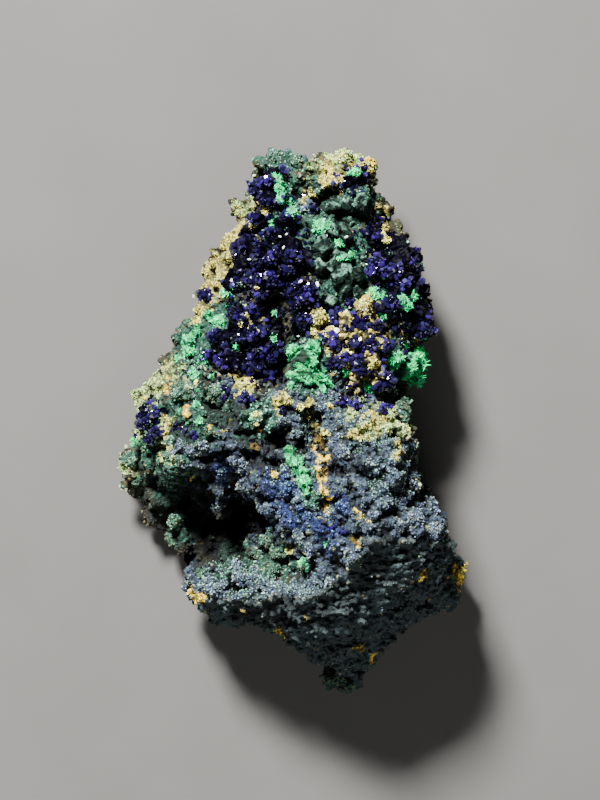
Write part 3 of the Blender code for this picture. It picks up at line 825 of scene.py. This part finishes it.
def stony_finish(name, shades, painted_shade_colour=PAINTED_SHADE_BLACK):
    """Matt mottled stone, with painted shade in its recesses."""
    return mottled_finish(name, 0.85, 0.3, stone_shades(shades), 1800.0, 3.0, painted_shade_colour)


azurite_body = mottled_finish("azurite_body", 0.6, 0.05, DEEP_VIOLET, per_metre=1800.0, detail=2.0)
# The dark brown colour given here is painted shade in the recesses.
sandy_body = stony_finish("sandy_body", OCHRE, (0.012, 0.008, 0.004, 1.0))

# Each crust's knob size and depth, its crystals' spacing, smallest and largest, and where they grow.
AZURITE_CRUSTS = {
    "azurite_rosette": (1.5, 0.8, 0.34, 0.28, 0.62, "outer"),
    "azurite_top": (2.2, 1.6, 0.38, 0.32, 0.85, "outer"),
    "azurite_upper": (2.8, 2.0, 0.38, 0.32, 0.95, "covered"),
    "azurite_middle": (2.6, 1.9, 0.38, 0.32, 0.95, "covered"),
    "azurite_right": (2.6, 1.9, 0.38, 0.32, 0.95, "covered"),
    "azurite_top_right": (1.7, 1.1, 0.38, 0.32, 0.75, "outer"),
    "azurite_left": (1.8, 1.2, 0.38, 0.32, 0.75, "covered"),
    "azurite_centre": (1.9, 1.4, 0.42, 0.45, 1.15, "covered"),
}
bases = []
for seed, (node, (knob, depth, *sizes, share)) in enumerate(AZURITE_CRUSTS.items(), 30):
    finish = sandy_body if node == "azurite_centre" else azurite_body
    base = crust_base(node, knob, depth, seed, finish)
    bases.append(base)
    grow(f"{node}_crystals", base.data, "azurite", crystals, azurite, share, seed, *sizes, lean=0.7)
    if share == "covered":
        filling = ochre_sand if node == "azurite_centre" else green_dust
        grow(f"{node}_filling", base.data, "limonite", chips, filling, "bare", seed + 20,
             spacing=0.30, smallest=0.16, largest=0.55, lean=math.pi, cluster=480.0)
grow("azurite_scatter", rock.data, "azurite", crystals, azurite, "spill", 50,
     spacing=0.55, smallest=0.30, largest=0.9)

# ---------------------------------------------------------------------------------------------
# The malachite: dark green blocks with pale tops, partly frost and partly painted highlight, and
# mint-green tufts of short needles. They grew beside the azurite, so they hug the rock in the same way.

# Corners of a needle one unit long, from its foot up.
NEEDLES = {
    "needle_slim": [
        (0.16, 0.0, -0.2), (-0.08, 0.14, -0.2), (-0.08, -0.14, -0.2), (0.05, 0.1, 0.5),
        (-0.05, -0.1, 0.55), (0.0, 0.0, 1.0)],
    "needle_flat": [
        (0.28, 0.04, -0.2), (-0.28, 0.05, -0.2), (0.0, -0.08, -0.2), (0.2, 0.04, 0.6),
        (-0.2, -0.04, 0.6), (0.05, 0.0, 0.85)],
}
needles = shape_set("needles", [hull_mesh(name, corners) for name, corners in NEEDLES.items()])

MINT = shade_range(
    (0, 0.3, 0.5, 0.7, 0.85, 1), (0.5, 8, 3), (1, 40, 14), (2, 170, 52), (4, 500, 140), (8, 800, 210),
    (20, 1000, 280))
JADE = shade_range(
    (0, 0.3, 0.55, 0.8, 1), (1, 6, 3), (5, 40, 20), (14, 130, 65), (45, 270, 140), (190, 680, 400))
mint = tinted_material("mint_malachite", [MINT, JADE, MINT], 0.7, 0.05)
jade = tinted_material("jade_malachite", [JADE, MOSS, JADE], 0.7, 0.05)
# The near-black green given here is painted shade in the recesses.
mint_body = stony_finish("mint_body", MINT, (0.001, 0.008, 0.004, 1.0))

# Each tuft's knob size and depth, and its needles' spacing, smallest, largest, lean and stretch.
TUFTS = {
    "malachite_centre": (2.0, 1.4, 0.19, 0.18, 0.38, 0.9, 0.9),
    "malachite_right": (1.8, 1.4, 0.20, 0.30, 0.8, 0.6, 1.2),
    "malachite_left": (1.5, 0.9, 0.20, 0.20, 0.5, 0.9, 1.0),
    "malachite_vein": (1.4, 0.8, 0.20, 0.18, 0.42, 0.9, 0.8),
}
for seed, (node, (knob, depth, *sizes)) in enumerate(TUFTS.items(), 60):
    base = crust_base(node, knob, depth, seed, mint_body)
    bases.append(base)
    finish = jade if node == "malachite_vein" else mint
    grow(f"{node}_needles", base.data, "malachite", needles, finish, "outer", seed, *sizes)


def top_surface(pieces):
    """These pieces as one surface to set small things down on."""
    points = []
    faces = []
    for piece in pieces:
        faces += [[len(points) + i for i in polygon.vertices] for polygon in piece.data.polygons]
        points += [vertex.co.copy() for vertex in piece.data.vertices]
    return BVHTree.FromPolygons(points, faces)


ABOVE_ALL = 60.0
EDGE_LEVEL = 10.0


def set_down(surface, x, y):
    """The point of the upper surface above this place, in millimetres, and its normal. Past the
    edge it is the nearest point of the surface."""
    point, normal, _, _ = surface.ray_cast(Vector((x, y, ABOVE_ALL)) * MM, Vector((0.0, 0.0, -1.0)))
    if point is None:
        point, normal, _, _ = surface.find_nearest(Vector((x, y, EDGE_LEVEL)) * MM)
    return point / MM, normal


# Blocks of dark malachite, in millimetres: where each stands and its width.
BLOCKS = [
    (5.6, 29.8, 3.3), (9.7, 30.1, 3.1), (8.1, 27.3, 2.3), (4.1, 23.9, 3.4), (3.6, 21.4, 2.7),
    (6.8, 19.9, 2.8), (5.3, 16.9, 2.8), (9.1, 20.4, 2.3), (9.2, 18.2, 1.9), (7.4, 22.8, 1.8),
    (10.4, 22.3, 1.6), (6.9, 24.9, 1.7), (3.6, 27.4, 1.6), (11.8, 28.6, 1.7), (6, 26.2, 1.4),
    (6.1, 21.5, 1.8),
]
BLOCK_FINENESS = 0.17 * MM
BLOCK_HALVES = (0.5, 0.36, 0.42)
BLOCK_BED = 0.8
FACET_SIZE, FACET_DEPTH = 0.9, 0.2


def block_corners(random, surface, x, y, width):
    """A crooked brick, tilted and half sunk in the surface."""
    point, _ = set_down(surface, x, y)
    turn = Matrix.Rotation(random.uniform(0.0, math.pi), 4, "Z")
    tip = Matrix.Rotation(random.uniform(-0.9, 0.3), 4, "X")
    tip @= Matrix.Rotation(random.uniform(-0.5, 0.5), 4, "Y")
    halves = [half * width for half in BLOCK_HALVES]
    corners = []
    for sides in itertools.product((-1, 1), repeat=3):
        corner = [side * half * random.uniform(0.45, 1.15) for side, half in zip(sides, halves)]
        corners.append((point + tip @ turn @ Vector(corner)) * MM)
    return corners


def joined_mesh(name, meshes):
    bm = bmesh.new()
    for mesh in meshes:
        bm.from_mesh(mesh)
    return mesh_from(name, bm)


BOTTLE_GREEN = shade_range((0.3, 0.5, 0.72), (0.2, 1.2, 0.8), (0.8, 4, 2.5), (4, 16, 10))
PALE_FROST_AND_HIGHLIGHT = shade_range((0.36, 0.64), (12, 32, 22), (85, 165, 120))
# Block body: dark green, paler on the faces towards the key lamp, which is frost and painted highlight,
# and near black in its recesses as painted shade.
block_body, tree, shader = start_material("block_body", 0.7, 0.1)
colour = colour_ramp(tree, noise_share(tree, per_metre=1500.0, detail=3.0), BOTTLE_GREEN)
frost_and_highlight_colour = colour_ramp(tree, noise_share(tree, per_metre=2200.0, detail=3.0), PALE_FROST_AND_HIGHLIGHT)
colour = mix_colours(tree, share_of(tree, "frost"), colour, frost_and_highlight_colour)
# Painted shade: near black in the recesses.
colour = mix_colours(tree, share_of(tree, "dark"), colour, (0.0004, 0.0012, 0.0008, 1.0))
tree.links.new(colour, shader.inputs["Base Color"])
# Pale grains for the faces towards the key lamp: frost and painted highlight.
FROST_AND_HIGHLIGHT_GREENS = shade_range(
    (0, 0.25, 0.5, 0.75, 1), (1, 4, 3), (6, 18, 12), (28, 66, 46), (80, 165, 120), (200, 420, 300))
# The side the key lamp shines from; faces towards it get the pale frost, partly as painted highlight.
KEY_LAMP_SIDE = (-0.2, 0.68, 0.72)
frost_grains = tinted_material("frost_grains", [FROST_AND_HIGHLIGHT_GREENS, JADE, FROST_AND_HIGHLIGHT_GREENS], 0.7, 0.1)

random = np.random.default_rng(8)
ledge = top_surface([rock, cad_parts["malachite_blocks"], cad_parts["malachite_top"]])
bricks = [hull_mesh(f"brick_{k}", block_corners(random, ledge, *place)) for k, place in enumerate(BLOCKS)]
for seed, (node, meshes) in enumerate((("malachite_blocks", bricks), ("malachite_top", [])), 70):
    base = merged_copy(node, f"{node}_base")
    if meshes:
        points, normals = points_and_normals(base.data)
        set_points(base.data, points - BLOCK_BED * normals)
    base.data = joined_mesh(f"{node}_base", [base.data, *meshes])
    voxel_remesh(base, BLOCK_FINENESS)
    points, normals = points_and_normals(base.data)
    facets = FACET_DEPTH * bulges(points, FACET_SIZE, seed=84.0, crease=0.4, level=0.6)
    rough = 0.22 * noise_at(points, 1.2, 81.0) + 0.10 * noise_at(points, 0.4, 82.0)
    points += normals * (facets + rough)[:, None]
    set_points(base.data, points)
    # Faces towards the key lamp get the pale frost, partly painted highlight; dark is painted shade in the
    # recesses.
    upper = smoothstep(0.76, 1.0, normals @ KEY_LAMP_SIDE + 0.4 * noise_at(points, 0.8, 83.0))
    recess = recess_depth(base.data)
    store_shares(
        base.data, frost=upper, dark=smoothstep(0.1, 0.8, recess), crest=smoothstep(0.0, 0.4, -recess))
    base.data.materials.append(block_body)
    base.data.shade_flat()
    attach(base, "root")
    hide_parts(node)
    bases.append(base)
    grow(f"{node}_frost", base.data, "malachite", chips, frost_grains, "frost", seed,
         spacing=0.25, smallest=0.14, largest=0.27, lean=math.pi)

# ---------------------------------------------------------------------------------------------
# Outlying knots: small tufts of malachite, knots of azurite, coral-like slate knobs and lumps of
# sand that sit on the crusts and between them. Each is a bunch of balls grown onto what is below.

# Places (x, y, radius) in millimetres, seen from above.
MINT_KNOTS = [
    *row(-2, 33.5, 0.1, 28.9, 4, 0.95), (-2.6, 27.4, 0.6), (-1.6, 30.8, 0.7), (8.6, 34.8, 0.9),
    (4.2, 26.7, 1.2), (5.2, 27.4, 0.8), (6.6, 22.7, 0.7), (8.3, 23.2, 0.8), (9.2, 23.6, 0.6),
    (6.4, 24.6, 0.7), (11.4, 17.9, 1.1), (12.8, 17.2, 0.8), (15.6, 16.4, 1.1), (17, 17.4, 0.8),
    (7.4, 6.6, 0.7), (11.2, 4.3, 0.9), (-9.5, 17.9, 0.8), (-9.1, 16.2, 0.6), (-10.6, 14, 1.1),
    (-9.9, 13.2, 0.8), (-2.3, 15.4, 0.7), (-2.4, 11.4, 0.8), (-8.2, 18.6, 0.6), (-12.4, 8.6, 0.9),
    (-14.6, 9.6, 1), (-15.6, 8.8, 0.8), (-13.8, 6.6, 0.8), (-7.6, 10.4, 0.6), (-15.8, 1.2, 0.7),
    (-12.8, 0, 0.7), (-13.4, 2.2, 0.8), (-5.4, 0.8, 0.7), (1.7, -8.4, 0.8), (4.6, -16.8, 0.6),
    (-22.8, -2.8, 0.9), (1.6, -19.6, 0.8), (14.4, 8.6, 1.2), (15.8, 7, 1.3), (15.2, 10.2, 1),
    (17.4, 9.4, 1.2), (17.2, 6.4, 1), (13.6, 7.2, 0.8), (6.2, 14.4, 0.6), (12.6, 14.4, 0.7),
    (9.9, 4.8, 0.6), (4.4, 7, 0.5), (-15.4, 4.2, 0.5), (-13, 4.4, 0.5), (-11, 6.4, 0.6),
    (-14.4, -0.4, 0.5),
]
AZURITE_KNOTS = [
    (-12.4, 17.6, 1.1), (-11.6, 16.8, 0.8), (2.9, 29.7, 0.8), (13.4, 16.6, 0.8), (7.9, 16.6, 0.7),
    (2.2, 31.6, 0.6), (5.8, 13.8, 1.2), (4.3, 11.2, 1.1), (9.6, 13.4, 1.1), (10.6, 10.6, 1.3),
    (8.1, 10.8, 0.8), (7.2, 8.8, 1.2), (12.6, 8.8, 0.9), (13, 6.2, 0.9), (8.4, 2.2, 1.3), (7, 2.7, 0.9),
    (12.9, 1.7, 0.9), (-19.6, 0.6, 1.1), (-20.8, -0.8, 1), (-18.8, -1.6, 0.9),
    *row(-16.2, -0.6, -13.8, -1.8, 3, 0.7), (-14.6, 6.6, 0.6), (-9.4, 3.8, 0.9), (-6.2, 3.6, 0.9),
    *row(5.6, -14.4, 6.8, -15.2, 2, 0.65), (19.6, 12.8, 0.8), (-1.2, 1.6, 0.7), (6.4, 15.4, 0.8),
    (8.9, 8.9, 0.8), (11.6, 12.8, 0.9), (6.1, 10.4, 0.9), (9.4, 6.9, 0.9), (5.2, 8.2, 0.8),
    (13.4, 10.4, 0.8), (11, 6.6, 0.8), (12, 4.6, 0.7), (7.6, 12.8, 0.6),
]
CREAM_KNOTS = [
    (4.2, 13.9, 1.8), (4.9, 12.7, 1.2), (3.2, 12.6, 0.9), (9.8, 15.8, 1.2), (8.9, 16.4, 0.7),
    (7.6, 9.2, 1.1), (4.8, 9.4, 0.6), (11.4, 8.2, 0.9), (12.2, 11.4, 0.7), (-1.2, 3, 1.1),
    (-0.2, 2.6, 0.7), (1.4, 2, 0.8), (5.1, 1.7, 0.8), (-0.8, -1.4, 0.5), (4.6, -2, 0.8),
    (14.3, -4.6, 0.8), (-6, 5.6, 0.7), (-7.2, 4.8, 0.8), (-7.6, 3.4, 0.6), (-6.4, 14.6, 0.5),
    (-5.6, 13.4, 0.5), (-4.9, 12.6, 0.5), (-7.2, 13.2, 0.5), (-5, 18.5, 0.5), (-5, 16.4, 0.4),
    (-3.6, 29.4, 0.8), (2.8, 31.2, 0.7), (-0.3, -17.9, 0.7), (9.4, -12.9, 0.7), (10.4, -13.8, 0.5),
    (-17.6, 0.6, 0.6), (-17.9, -1.8, 0.8), (-18.1, -3.6, 0.7), (-5, -0.6, 0.5), (-4.8, 1.2, 0.9),
    (-18, -5.2, 0.6), (4.6, 33.7, 0.8), (6.8, 33.9, 0.8), (-5.6, 27.2, 0.8), (13.2, 25.4, 0.8),
    (13, 27.2, 0.8), (3, 1.2, 0.7), (2, 0.6, 0.7), (8.6, -1.4, 0.7), (10.2, -0.8, 0.7),
    (9.6, -2.4, 0.6), *row(-12.4, -1.8, -6.8, -1.1, 9, 0.35),
]
RUSTY_KNOTS = [
    (-4.6, -1.4, 0.6), (-11.4, -0.8, 0.5), (-14, -8, 0.5), (10.8, 36.2, 0.9), (-17.6, 6, 0.5),
    (-17.8, 4.4, 0.5), (-13.6, 5.2, 0.6), (-20.8, 3.2, 0.5), (3.2, -3.8, 0.7), (4, -4.9, 0.7),
    (4.8, -5, 0.5), (3.4, -4.4, 0.5), *row(3.5, -5.6, 3.9, -9.2, 7, 0.47),
    *row(4, -9.8, 4.8, -12.8, 6, 0.38), (-2.4, -7.2, 0.7), (-14.2, -24.6, 0.8), (-12.9, -24.6, 0.8),
    (-11.9, -24.5, 0.5), (5.4, 6.6, 0.5), (8.6, -12.2, 0.5),
]
SLATE_KNOTS = [
    (-7.6, -20.3, 1.2), (-7, -22.2, 1.3), (-5.4, -21.6, 1), (-4.2, -22.4, 1), (-9.6, -22.6, 1.1),
    (-12.6, -23, 1.2), (-11, -24, 0.9), *row(-3, -22.6, -0.2, -23.6, 3, 1.1),
    *row(1.4, -23.4, 4.8, -22.2, 3, 1.2), *row(-11.2, -12.4, -7, -9, 5, 0.76), (-6.6, -6.4, 1.3),
    (-8.2, -5.6, 0.9), (-15.6, -4, 1.3), (-13.8, -4.6, 1.1), (-12.2, -3.6, 0.9), (-4.2, -12.4, 1.4),
    (-2.2, -13.4, 1.2), (-0.8, -15.2, 1.3), (1.2, -15.8, 1.3), (14.6, -10.4, 1.5), (13.8, -8.6, 1.2),
    (16.6, -14, 1.6), (19.4, -15.2, 1.3), (16, -3.4, 1), (15.6, -7.6, 1), (-2.8, 37.9, 0.8),
    (-0.6, 38.1, 0.7), (1.3, 37.4, 0.7), (0.6, -1.8, 1.1), (-1.4, -0.4, 1.1), (7, -4.2, 1.1),
    (5.6, -3.6, 0.9), (0.8, -10.9, 1), (2.2, 30.2, 0.9), (1.2, 29.4, 0.8), (5.8, -11.6, 0.9),
    (4.9, -13.2, 0.8),
]
MOSS_KNOTS = [
    (-3.2, -16.8, 1.4), (-1.8, -18.4, 1.3), (-4.6, -18.6, 1.3), (-2.6, -20.4, 1.2), (1.2, -20.2, 1),
    (-3, -15.2, 0.8), (-16.2, 4.4, 1.3), (-14.4, 3.6, 1), (-10.6, 3.8, 1.4), (-9.4, 2, 1),
    (-17, -17.2, 1.4), (-16.6, -14.6, 1.5), (-15.6, -6.4, 1.2), (-13.6, -6.8, 1), (-17.2, -5.2, 0.9),
    (15.6, 1.6, 1.3), (15.2, -0.4, 0.9), (-23.2, -5.6, 1.3), (-22, -8.4, 1.1), (5.6, -37, 1.2),
    (7.6, -37.4, 1.1), (-12.8, -21.4, 1), (-3.6, 36.6, 1.1), (-1.6, 37.2, 0.9), (0.4, 36.6, 1.1),
]


BALLS_TO_A_KNOT = 3
BALL_RADIUS, BALL_SPREAD, BALL_SINK = 0.75, 0.5, 0.2
KNOB_SIZE, KNOB_DEPTH = 0.9, 0.35


def knots(name, places, seed, finish):
    """Bunches of small balls partly sunk in the surface below them."""
    random = np.random.default_rng(seed)
    bm = bmesh.new()
    for x, y, radius in places:
        for _ in range(BALLS_TO_A_KNOT):
            aside = random.uniform(-BALL_SPREAD, BALL_SPREAD, 2) * radius
            point, normal = set_down(ground, x + aside[0], y + aside[1])
            ball = bmesh.ops.create_icosphere(bm, subdivisions=2, radius=BALL_RADIUS * radius * MM)
            centre = Vector(point) - BALL_SINK * radius * Vector(normal)
            bmesh.ops.translate(bm, verts=ball["verts"], vec=centre * MM)
    base = new_object(name, mesh_from(name, bm))
    grow_knobs(base, KNOB_SIZE, KNOB_DEPTH, seed, finish)
    return base


# White crystals and painted glints, in millimetres: where each lies and its width. Some are clear
# white crystals, and some are white slivers put where glints are, as painted highlights.
WHITE_CRYSTALS_AND_GLINTS = [
    (5.9, 12.3, 1.5), (7.5, 25.5, 0.5), (1.1, 19.2, 0.6), (-1.5, 17.8, 0.6), (-0.8, 25.8, 0.4),
    (-1.7, 25.5, 0.4), (-1.2, 23.9, 0.4), (3.5, 19, 0.7), (10.2, 15.4, 0.5), (4.7, 26, 0.6),
    (0.8, 11.8, 0.4), (-6, 22.4, 0.4),
]
ground = top_surface([rock, *bases])
random = np.random.default_rng(97)
CRYSTAL_LIFT = Vector((0.0, 0.0, 0.4))
SLIMNESS = Vector((0.62, 0.62, 1.0))
slivers = []
for x, y, width in WHITE_CRYSTALS_AND_GLINTS:
    point, _ = set_down(ground, x, y)
    turn = Matrix.Rotation(random.uniform(0.0, math.pi), 3, "Z")
    turn @= Matrix.Rotation(random.uniform(0.5, 1.3), 3, "X")
    foot = Vector(point) + CRYSTAL_LIFT
    slim = SLIMNESS * width
    corners = [(foot + turn @ (slim * Vector(corner))) * MM for corner in crystal_corners(random, 5)]
    slivers.append(hull_mesh("white_crystal", corners))
white_crystals = new_object("white_crystals", joined_mesh("white_crystals", slivers))
# Bright white for the crystals and for the painted glints.
CLEAR_WHITE = shade_range((0.35, 0.65), (550, 580, 600), (900, 900, 880))
white_finish = mottled_finish("white_crystal", 0.2, 0.6, CLEAR_WHITE, per_metre=900.0, detail=2.0)
white_crystals.data.materials.append(white_finish)
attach(white_crystals, "root")
cream_stone = stony_finish("cream_stone", CREAM)
rusty_stone = stony_finish("rusty_stone", ORANGE)
slate_stone = stony_finish("slate_stone", SLATE)
moss_stone = stony_finish("moss_stone", EMERALD)

# Each set of knots: its places, seed, stone and slot, and the grains on it with their shapes,
# spacing, smallest, largest, lean and material.
for name, places, seed, body, slot, shapes, *sizes, material in (
    ("mint_knots", MINT_KNOTS, 90, mint_body, "malachite", needles, 0.18, 0.20, 0.50, 0.9, mint),
    ("azurite_knots", AZURITE_KNOTS, 91, azurite_body, "azurite", crystals, 0.38, 0.32, 0.9, 0.7, azurite),
    ("cream_knots", CREAM_KNOTS, 92, cream_stone, "limonite", chips, 0.24, 0.14, 0.40, 0.9, cream_sand),
    ("rusty_knots", RUSTY_KNOTS, 93, rusty_stone, "limonite", chips, 0.24, 0.14, 0.40, 0.9, rusty_sand),
    ("slate_knots", SLATE_KNOTS, 94, slate_stone, "azurite", chips, 0.26, 0.14, 0.45, 0.9, slate),
    ("moss_knots", MOSS_KNOTS, 95, moss_stone, "malachite", chips, 0.26, 0.14, 0.45, 0.9, moss_grains),
):
    base = knots(name, places, seed, body)
    grow(f"{name}_growth", base.data, slot, shapes, material, "outer", seed, *sizes)

# ---------------------------------------------------------------------------------------------
# The table, lamps and camera: a pale table, one soft lamp beyond the narrow end and a weak fill.

floor_mesh = bpy.data.meshes.new("table")
HALF_SIDE = 1.5
floor_corners = [(x * HALF_SIDE, y * HALF_SIDE, 0.0) for x, y in ((-1, -1), (1, -1), (1, 1), (-1, 1))]
floor_mesh.from_pydata(floor_corners, [], [(0, 1, 2, 3)])
floor = new_object("table", floor_mesh)
PAPER = shade_range((0.3, 0.7), (82, 80, 74), (88, 86, 80))
floor_mesh.materials.append(mottled_finish("table_paper", 0.9, 0.2, PAPER, per_metre=60.0, detail=3.0))


def add_lamp(name, azimuth, elevation, distance, size, power):
    """A square soft lamp that points at the middle of the specimen. Its angles are in degrees."""
    lamp = bpy.data.lights.new(name, "AREA")
    lamp.size = size
    lamp.energy = power
    turn, rise = math.radians(azimuth), math.radians(elevation)
    direction = Vector((math.cos(turn) * math.cos(rise), math.sin(turn) * math.cos(rise), math.sin(rise)))
    obj = new_object(name, lamp)
    obj.location = direction * distance
    obj.rotation_euler = (-direction).to_track_quat("-Z", "Y").to_euler()


add_lamp("key_lamp", azimuth=112, elevation=46, distance=0.7, size=0.13, power=38.0)
add_lamp("fill_lamp", azimuth=-80, elevation=32, distance=0.8, size=0.5, power=4.0)
SKY = (0.045, 0.045, 0.05, 1.0)
world = bpy.data.worlds.new("studio")
bpy.context.scene.world = world
world.use_nodes = True
world.node_tree.nodes["Background"].inputs["Color"].default_value = SKY

PICTURE_HEIGHT = 0.112
PICTURE_MIDDLE = (0.0011, 0.0029)
FOCUS_LEVEL = 0.015
CAMERA_DISTANCE = 0.60
camera = bpy.data.cameras.new("camera")
camera.lens = camera.sensor_width * CAMERA_DISTANCE / PICTURE_HEIGHT
camera_object = new_object("camera", camera)
camera_object.location = (*PICTURE_MIDDLE, FOCUS_LEVEL + CAMERA_DISTANCE)
bpy.context.scene.camera = camera_object
